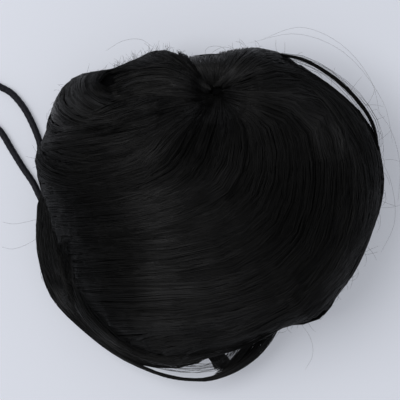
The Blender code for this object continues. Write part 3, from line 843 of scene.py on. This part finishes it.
def make_cord(material):
    """Add the drawstring's free loop as a braided cord, laid along its route."""
    half_gap = CASING_GAP_ANGLE / 2
    leads = (CORD_GAP, CORD_GAP + CORD_LEAD)
    route = (
        [casing_end(180 - half_gap, lead) for lead in leads]
        + list(CORD_ROUTE)
        + [casing_end(half_gap - 180, -lead) for lead in leads[::-1]]
    )
    stations = 520
    sides = 12
    course = smooth_course(route, stations)
    length = float(np.linalg.norm(np.diff(course, axis=0), axis=1).sum())
    heading = unit(np.gradient(course, axis=0))
    aside = unit(np.cross(heading, UPWARD))
    upward = np.cross(aside, heading)
    turn = np.arange(sides) * 2 * math.pi / sides
    run = np.linspace(0, length, stations)
    over = np.abs(np.sin(math.pi * run[:, None] / PLAIT + 2 * turn))
    under = np.abs(np.sin(math.pi * run[:, None] / PLAIT - 2 * turn))
    radius = CORD_DIAMETER / 2 * (BRAID_VALLEY + BRAID_RIDGE * np.maximum(over, under))
    rings = (
        course[:, None]
        + (radius * np.cos(turn))[..., None] * aside[:, None]
        + (radius * np.sin(turn))[..., None] * upward[:, None]
    )
    mesh = ring_mesh("drawstring_loop_braid", rings)
    cord = add_piece("drawstring_loop_braid", mesh, material, "cord", "drawstring_loop")


def ring_mesh(name, rings, looped=False):
    """Return a mesh skinned over rings of equal count, with flat ends or joined into a loop."""
    count, sides, _ = rings.shape
    faces = []
    spans = count if looped else count - 1
    for span in range(spans):
        here = span * sides
        there = (span + 1) % count * sides
        for side in range(sides):
            after = (side + 1) % sides
            faces.append((here + side, here + after, there + after, there + side))
    if not looped:
        faces.append(tuple(range(sides))[::-1])
        faces.append(tuple((count - 1) * sides + side for side in range(sides)))
    mesh = bpy.data.meshes.new(name)
    mesh.from_pydata(rings.reshape(-1, 3).tolist(), [], faces)
    mesh.update()
    mesh.shade_smooth()
    return mesh


def make_core(material):
    """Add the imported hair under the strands: the mass drawn in a little, but for its foot."""
    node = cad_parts["hair_mass"]
    mesh = node.data.copy()
    mesh.name = "packed_hair"
    core = add_piece("packed_hair", mesh, material, "hair", "hair_mass")
    inset = core.vertex_groups.new(name="inset")
    for vert in mesh.vertices:
        inset.add([vert.index], min(vert.co.z / CORE_FOOT, 1), "REPLACE")
    weld = core.modifiers.new("weld", "WELD")
    weld.merge_threshold = 0.00002
    shrink = core.modifiers.new("shrink", "DISPLACE")
    shrink.strength = -CORE_INSET
    shrink.vertex_group = "inset"
    shrink.mid_level = 0
    mesh.shade_smooth()


def make_floor():
    """Add the pale floor, with a faint glow of its own that softens the shadow."""
    paint = Paint("pale_floor", 0.8, 0.2)
    cloud = paint.pattern("ShaderNodeTexNoise", paint.places())
    cloud.inputs["Scale"].default_value = 6
    paint.colour(cloud.outputs["Fac"], (0.600, 0.625, 0.690), (0.640, 0.660, 0.720))
    paint.shader.inputs["Emission Color"].default_value = (0.88, 0.91, 1.0, 1)
    paint.shader.inputs["Emission Strength"].default_value = 0.27
    bpy.ops.mesh.primitive_plane_add(size=6)
    floor = bpy.context.object
    floor.name = "floor"
    floor.data.materials.append(paint.material)


def make_light():
    """Light the scene softly from the upper left, with a pale surrounding."""
    lamp = bpy.data.lights.new("window", "AREA")
    lamp.shape = "DISK"
    lamp.size = 0.80
    lamp.energy = 5.5
    lamp.color = (1.0, 0.99, 0.98)
    window = bpy.data.objects.new("window", lamp)
    window.location = (-0.58, 0.14, 0.90)
    window.rotation_euler = (-window.location).to_track_quat("-Z", "Y").to_euler()
    bpy.context.scene.collection.objects.link(window)
    world = bpy.data.worlds.new("studio")
    world.use_nodes = True
    background = world.node_tree.nodes["Background"]
    background.inputs["Color"].default_value = (0.95, 0.97, 1.0, 1)
    background.inputs["Strength"].default_value = 0.37
    bpy.context.scene.world = world
    bpy.context.scene.view_settings.view_transform = "Standard"


def make_hair(surface, material):
    """Add the combed hair over the mass, a piece for each family of guides."""
    for name, guides, *numbers in FAMILIES:
        paths, outward, tone = comb(surface, guides, *numbers)
        mesh = strand_mesh(name, paths, outward, tone, STRAND_RADIUS)
        add_piece(name, mesh, material, "hair")


def make_bands(surface, material):
    """Add the hair that is wound round the bun's side and edge, in bands along its outline."""
    stations = np.linspace(0, 1, BAND_STATIONS)
    swell = swell_over(stations, 0.5)
    for name, first, last, upper, lower, count, strands, lift in BANDS:
        middle = np.radians(rng.uniform(first, last, count))
        reach = rng.uniform(*BAND_REACHES, count) * rng.choice((-1, 1), count)
        level = rng.uniform(upper, lower, count)
        slope = rng.normal(0, BAND_SLOPE, count)
        share = rng.normal(0, 0.5, (count, strands)).clip(-1.2, 1.2)
        bearing = middle[:, None] + reach[:, None] * (stations - 0.5)
        out = level[:, None, None] + slope[:, None, None] * (stations - 0.5)
        out = out + share[..., None] * BAND_SPREAD * (0.5 + 0.5 * swell)
        radius = surface.girth_at(bearing)[:, None] * out
        points, outward, _ = surface.look_up(on_plan(radius, bearing[:, None]))
        crown = BAND_CROWN * np.clip(1 - share**2, 0, 1)[..., None]
        rise = rng.uniform(*BAND_LIFTS, count)[:, None, None] * lift + crown
        points = points + outward * (rise * swell - END_DEPTH * (1 - swell))[..., None]
        tone = rng.uniform(*BAND_TONES, (count, 1))
        tone = np.clip(tone + rng.normal(0, BAND_TONE_SPREAD, (count, strands)), 0, 1).ravel()
        flat = (count * strands, BAND_STATIONS, 3)
        mesh = strand_mesh(name, points.reshape(flat), outward.reshape(flat), tone, STRAND_RADIUS)
        add_piece(name, mesh, material, "hair")


def make_standing_lock(name, node, table, width, count, material):
    """Add a lock that stands off the bun, a bundle of strands along its course, in its solid's size."""
    low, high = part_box(node)
    height = (low.z + high.z) / 2
    thickness = high.z - low.z
    course = smooth_course(table, STANDING_POINTS)
    known = np.arange(STANDING_POINTS)
    middle = course[:, :2] * HALF_SPAN
    heading = unit(np.gradient(middle, axis=0))
    aside = np.column_stack((heading[:, 1], -heading[:, 0]))
    stations = np.linspace(0, 1, STANDING_STATIONS)
    length = rng.uniform(*STANDING_LENGTHS, count)
    start = rng.uniform(0, 1 - length)
    where = (start[:, None] + length[:, None] * stations) * (STANDING_POINTS - 1)
    angle = rng.uniform(0, 2 * math.pi, count)
    radius = np.sqrt(rng.uniform(0, 1, count))
    twist = rng.normal(0, STANDING_TWIST, count)
    turn = angle[:, None] + twist[:, None] * (stations - 0.5)
    base, side = (
        np.stack([np.interp(where, known, axis) for axis in line.T], axis=-1) for line in (middle, aside)
    )
    girth = np.interp(where, known, course[:, 2])
    plan = base + side * (radius[:, None] * np.cos(turn) * girth * width / 2)[..., None]
    full = THIN_SHARE + (1 - THIN_SHARE) * girth
    level = height + radius[:, None] * np.sin(turn) * full * thickness / 2
    paths = np.concatenate((plan, level[..., None]), axis=-1)
    tone = rng.uniform(*STANDING_TONES, count)
    mesh = strand_mesh(name, paths, UPWARD, tone, STANDING_RADIUS)
    add_piece(name, mesh, material, "hair", node)


def in_metres(borders):
    """Return places given in shares of the half span and the bun's height in metres."""
    return np.asarray(borders) * (*HALF_SPAN, HIGH[2])


def make_veils(material):
    """Add the sparse hair that spans the cleft, the windows at the rim and the gap by the side lock."""
    stations = np.linspace(0, 1, STRAY_STATIONS)
    for name, count, radius, left, right in VEILS:
        borders = in_metres([smooth_course(border, STRAY_STATIONS) for border in (left, right)])
        share = ((np.arange(count) + rng.uniform(0, 1, count)) / count)[:, None, None]
        slant = rng.normal(0, VEIL_SLANT, count)[:, None, None] * (2 * stations - 1)[:, None]
        share = np.clip(share + slant, 0, 1)
        paths = borders[0] * (1 - share) + borders[1] * share
        run = np.full(count, np.linalg.norm(np.diff(borders[0], axis=0), axis=1).sum())
        for axis in range(3):
            paths[..., axis] += wave_over(run, (count,), VEIL_WAVE, VEIL_WAVE_LENGTH, stations)
        mesh = strand_mesh(name, paths, UPWARD, rng.uniform(0, 1, count), radius, taper=0.5)
        add_piece(name, mesh, material, "hair")


def make_strays(material):
    """Add the long single hairs that stand off the bun."""
    paths = in_metres([smooth_course(stray, 24) for stray in STRAYS])
    mesh = strand_mesh("stray_hairs", paths, UPWARD, np.full(len(paths), 0.5), STRAY_RADIUS, taper=0.5)
    add_piece("stray_hairs", mesh, material, "hair")


def make_frizz(surface, material):
    """Add short loose hairs along the outline, each a curling arc that leaves the bun's side."""
    stations = np.linspace(0, 1, STRAY_STATIONS)
    for name, first, last, count, shortest, longest in FRIZZ:
        bearing = np.radians(rng.uniform(first, last, count))
        girth = surface.girth_at(bearing)
        length = rng.uniform(shortest, longest, count)
        lean = bearing + rng.normal(0, FRIZZ_LEAN, count).clip(-HAIR_LIMIT, HAIR_LIMIT)
        bend = rng.normal(0, FRIZZ_BEND, count)
        turn = lean[:, None] + bend[:, None] * stations
        step = length[:, None] / (STRAY_STATIONS - 1)
        plan = np.cumsum(on_plan(step, turn), axis=1)
        root = on_plan(girth - FRIZZ_ROOT, bearing)
        level = GIRTH_HEIGHT + rng.uniform(*FRIZZ_LEVELS, count)[:, None]
        level = level + rng.normal(0, FRIZZ_CLIMB, count)[:, None] * length[:, None] * stations
        paths = np.concatenate((plan + root[:, None], level[..., None]), axis=-1)
        mesh = strand_mesh(name, paths, UPWARD, rng.uniform(0, 1, count), STRAY_RADIUS, taper=0.4)
        add_piece(name, mesh, material, "hair")


def make_net(material):
    """Add the knitted net of the cap: cords of thread that cross in diamonds over its dome."""
    low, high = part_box("cap_net")
    radius = (high.x - low.x) / 2 - NET_SKIN
    depth = high.z - low.z - NET_SKIN
    rise = np.radians(np.linspace(1, NET_TOP, NET_STATIONS))
    out = radius * np.cos(rise) ** NET_ROUNDNESS
    up = low.z + depth * np.sin(rise) ** NET_ROUNDNESS
    paths = []
    for way in (-1, 1):
        for start in np.arange(NET_THREADS) * 2 * math.pi / NET_THREADS:
            bearing = start + way * NET_TURN * np.linspace(0, 1, NET_STATIONS)
            paths.append(np.column_stack((on_plan(out, bearing), up)))
    paths = np.array(paths)
    outward = unit(paths - (0, 0, low.z))
    tone = np.full(len(paths), 0.5)
    mesh = strand_mesh("cap_net_threads", paths, outward, tone, NET_THREAD_RADIUS, sides=5, taper=1.0)
    add_piece("cap_net_threads", mesh, material, "net", "cap_net")


def make_casing(material):
    """Add the casing round the mouth: a gathered fabric tube, open at both ends."""
    stations = 220
    sides = 14
    half_gap = math.radians(CASING_GAP_ANGLE / 2)
    bearing = np.linspace(-math.pi + half_gap, math.pi - half_gap, stations)
    turn = np.arange(sides) * 2 * math.pi / sides
    pleat = PLEAT_DEPTH * np.sin(PLEATS * bearing)[:, None] * (1 + np.cos(turn)) / 2
    outer = CASING_RADIUS - CASING_SKIN + pleat
    inner = np.full_like(outer, CASING_RADIUS - CASING_WALL)
    shells = []
    for radius in (outer, inner):
        out = CAP_RADIUS + radius * np.cos(turn)
        level = CASING_HEIGHT + radius * np.sin(turn)
        shells.append(np.dstack((on_plan(out, bearing[:, None]), level)))
    rings = np.concatenate((shells[0], shells[1][::-1]))
    mesh = ring_mesh("casing_ribbon", rings, looped=True)
    add_piece("casing_ribbon", mesh, material, "casing", "rim_casing")


def main():
    """Dress the frame."""
    hair = hair_material()
    cord = cloth_material("braided_cord", (0.0035, 0.0038, 0.0065), (0.0160, 0.0165, 0.0240), 1500, 0.6)
    net = cloth_material("knitted_net", (0.004, 0.004, 0.005), (0.016, 0.016, 0.018), 2500, 0.75)
    ribbon = cloth_material("woven_ribbon", (0.006, 0.006, 0.007), (0.018, 0.018, 0.020), 2200, 0.7)
    make_camera()
    make_cord(cord)
    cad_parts["drawstring_core"].data.materials.clear()
    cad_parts["drawstring_core"].data.materials.append(cord)

    surface = Surface(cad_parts["hair_mass"])
    make_core(core_material())
    make_hair(surface, hair)
    make_bands(surface, hair)
    make_standing_lock("side_arc_strands", "side_arc_lock", SIDE_LOCK, SIDE_LOCK_WIDTH, 60, hair)
    make_standing_lock("rim_strands", "rim_lock", RIM_LOCK, RIM_LOCK_WIDTH, 240, hair)
    make_veils(hair)
    make_strays(hair)
    make_frizz(surface, hair)
    make_net(net)
    make_casing(ribbon)
    make_floor()
    make_light()


main()
